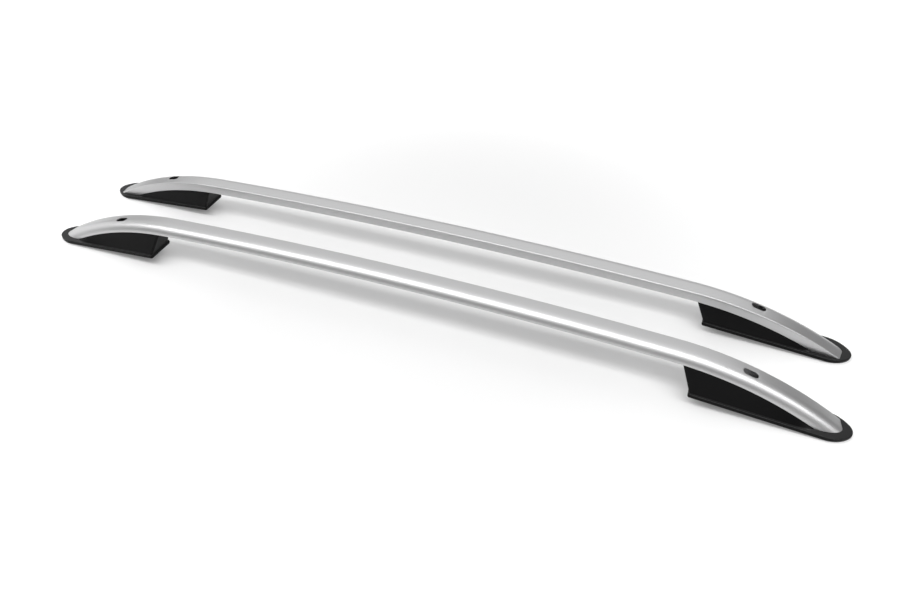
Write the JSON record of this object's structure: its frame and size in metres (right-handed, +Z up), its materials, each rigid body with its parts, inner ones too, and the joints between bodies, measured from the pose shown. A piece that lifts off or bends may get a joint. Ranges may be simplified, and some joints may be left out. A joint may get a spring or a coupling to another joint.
{
  "type": "pair of roof rails",
  "caption": "Mirrored roof rails: arched hollow aluminium extrusions with one rounded edge, on black moulded feet with gaskets, bolted along a car's roof to carry cross bars.",
  "frame": {"origin": "on the floor, midway along the rails and midway between them", "axes": "+X along the rails to the car's front, +Y to its left, +Z up"},
  "size_m": [1.7998, 0.279, 0.1188],
  "materials": {
    "rail": "satin silver anodised, fine lines along the extrusion",
    "foot": "fine moulded texture, black",
    "gasket": "smooth dark rubber",
    "sleeve": "plain turned steel",
    "screw": "zinc plated"
  },
  "bodies": {
    "root": {"left_rail": "rail", "left_front_foot": "foot", "left_front_gasket": "gasket", "left_front_sleeve": "sleeve", "left_front_inner_screw": "screw", "left_front_tip_screw": "screw", "left_rear_foot": "foot", "left_rear_gasket": "gasket", "left_rear_sleeve": "sleeve", "left_rear_inner_screw": "screw", "left_rear_tip_screw": "screw", "right_rail": "rail", "right_front_foot": "foot", "right_front_gasket": "gasket", "right_front_sleeve": "sleeve", "right_front_inner_screw": "screw", "right_front_tip_screw": "screw", "right_rear_foot": "foot", "right_rear_gasket": "gasket", "right_rear_sleeve": "sleeve", "right_rear_inner_screw": "screw", "right_rear_tip_screw": "screw"}
  },
  "joints": []
}
